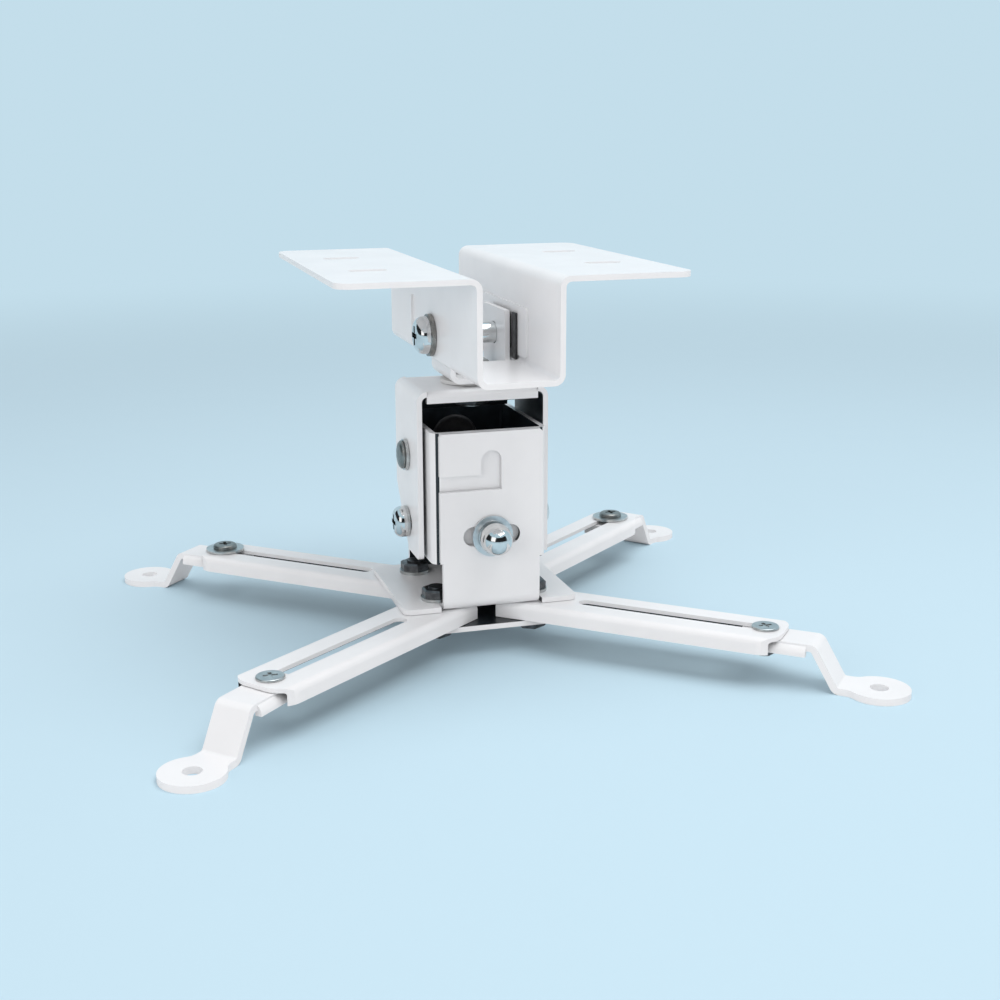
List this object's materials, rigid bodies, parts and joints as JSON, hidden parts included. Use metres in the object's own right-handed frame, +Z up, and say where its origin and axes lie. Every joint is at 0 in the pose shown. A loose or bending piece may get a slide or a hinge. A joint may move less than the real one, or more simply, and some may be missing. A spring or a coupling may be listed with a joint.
{
  "type": "projector ceiling mount",
  "caption": "White folded-steel ceiling mount for a projector: slotted ceiling bracket, cross-bolt tilt, pan yoke, pitch and roll frame, swinging slotted arms with sliding Z-bent feet.",
  "frame": {"origin": "centre of the four ceiling slots, on the face of the bracket that meets the ceiling", "axes": "+Z up into the ceiling, the front of the mount looks along -Y, its left side is -X"},
  "size_m": [0.2618, 0.2334, 0.147],
  "materials": {
    "white_paint": "glossy white powder coat",
    "zinc_steel": "zinc-plated steel",
    "black_steel": "black oxide steel",
    "chrome_steel": "polished chrome",
    "black_plastic": "black nylon",
    "white_plastic": "white nylon"
  },
  "bodies": {
    "ceiling": {"ceiling_bracket": "white_paint"},
    "cradle": {"tilt_cradle": "white_paint", "tilt_bolt": "chrome_steel", "tilt_liners": "black_plastic", "tilt_washers": "zinc_steel", "tilt_nut": "zinc_steel", "pan_bolt": "zinc_steel", "pan_spacer": "white_plastic", "pan_washer": "zinc_steel", "pan_nut": "black_steel"},
    "yoke": {"yoke": "white_paint"},
    "frame": {"pivot_frame": "white_paint", "pitch_bolts": "zinc_steel", "lock_bolts": "chrome_steel", "side_washers": "zinc_steel", "side_spacers": "zinc_steel", "side_nuts": "zinc_steel", "roll_bolts": "chrome_steel", "roll_washers": "chrome_steel", "roll_nuts": "zinc_steel"},
    "hub": {"lower_bracket": "white_paint", "hub_plate": "white_paint", "pivot_bolts": "black_steel", "pivot_washers": "zinc_steel", "pivot_nuts": "black_steel"},
    "arm_front_left": {"arm_front_left": "white_paint"},
    "clamp_front_left": {"clamp_screw_front_left": "zinc_steel", "clamp_washer_front_left": "zinc_steel", "clamp_nut_front_left": "black_steel"},
    "foot_front_left": {"foot_front_left": "white_paint"},
    "arm_front_right": {"arm_front_right": "white_paint"},
    "clamp_front_right": {"clamp_screw_front_right": "zinc_steel", "clamp_washer_front_right": "zinc_steel", "clamp_nut_front_right": "black_steel"},
    "foot_front_right": {"foot_front_right": "white_paint"},
    "arm_back_left": {"arm_back_left": "white_paint"},
    "clamp_back_left": {"clamp_screw_back_left": "zinc_steel", "clamp_washer_back_left": "zinc_steel", "clamp_nut_back_left": "black_steel"},
    "foot_back_left": {"foot_back_left": "white_paint"},
    "arm_back_right": {"arm_back_right": "white_paint"},
    "clamp_back_right": {"clamp_screw_back_right": "zinc_steel", "clamp_washer_back_right": "zinc_steel", "clamp_nut_back_right": "black_steel"},
    "foot_back_right": {"foot_back_right": "white_paint"}
  },
  "joints": [
    {"name": "tilt", "type": "hinge", "parent": "ceiling", "child": "cradle", "pos_m": [0, 0, -0.0275], "axis": [1, 0, 0], "range_deg": [-12, 12]},
    {"name": "pan", "type": "hinge", "parent": "cradle", "child": "yoke", "pos_m": [0, 0, -0.047], "axis": [0, 0, 1], "continuous": true},
    {"name": "pitch", "type": "hinge", "parent": "yoke", "child": "frame", "pos_m": [0, 0, -0.073], "axis": [1, 0, 0], "range_deg": [-8, 8]},
    {"name": "roll", "type": "hinge", "parent": "frame", "child": "hub", "pos_m": [0, 0, -0.0995], "axis": [0, 1, 0], "range_deg": [-8, 8]},
    {"name": "arm_swing_front_left", "type": "hinge", "parent": "hub", "child": "arm_front_left", "pos_m": [-0.019, -0.018, -0.1282], "axis": [0, 0, 1], "range_deg": [-30, 40]},
    {"name": "foot_slide_front_left", "type": "slide", "parent": "arm_front_left", "child": "clamp_front_left", "axis": [-0.7771, -0.6293, 0], "range_m": [-0.062, 0]},
    {"name": "foot_turn_front_left", "type": "hinge", "parent": "clamp_front_left", "child": "foot_front_left", "pos_m": [-0.09065, -0.07602, -0.131], "axis": [0, 0, 1], "range_deg": [-15.5, 2.5]},
    {"name": "arm_swing_front_right", "type": "hinge", "parent": "hub", "child": "arm_front_right", "pos_m": [0.019, -0.018, -0.1282], "axis": [0, 0, 1], "range_deg": [-40, 30]},
    {"name": "foot_slide_front_right", "type": "slide", "parent": "arm_front_right", "child": "clamp_front_right", "axis": [0.7547, -0.6561, 0], "range_m": [-0.062, 0]},
    {"name": "foot_turn_front_right", "type": "hinge", "parent": "clamp_front_right", "child": "foot_front_right", "pos_m": [0.08858, -0.07849, -0.131], "axis": [0, 0, 1], "range_deg": [-9, 9]},
    {"name": "arm_swing_back_left", "type": "hinge", "parent": "hub", "child": "arm_back_left", "pos_m": [-0.019, 0.018, -0.1282], "axis": [0, 0, 1], "range_deg": [-40, 30]},
    {"name": "foot_slide_back_left", "type": "slide", "parent": "arm_back_left", "child": "clamp_back_left", "axis": [-0.7547, 0.6561, 0], "range_m": [-0.062, 0]},
    {"name": "foot_turn_back_left", "type": "hinge", "parent": "clamp_back_left", "child": "foot_back_left", "pos_m": [-0.08858, 0.07849, -0.131], "axis": [0, 0, 1], "range_deg": [-9, 9]},
    {"name": "arm_swing_back_right", "type": "hinge", "parent": "hub", "child": "arm_back_right", "pos_m": [0.019, 0.018, -0.1282], "axis": [0, 0, 1], "range_deg": [-30, 40]},
    {"name": "foot_slide_back_right", "type": "slide", "parent": "arm_back_right", "child": "clamp_back_right", "axis": [0.7547, 0.6561, 0], "range_m": [-0.062, 0]},
    {"name": "foot_turn_back_right", "type": "hinge", "parent": "clamp_back_right", "child": "foot_back_right", "pos_m": [0.08858, 0.07849, -0.131], "axis": [0, 0, 1], "range_deg": [-9, 9]}
  ]
}
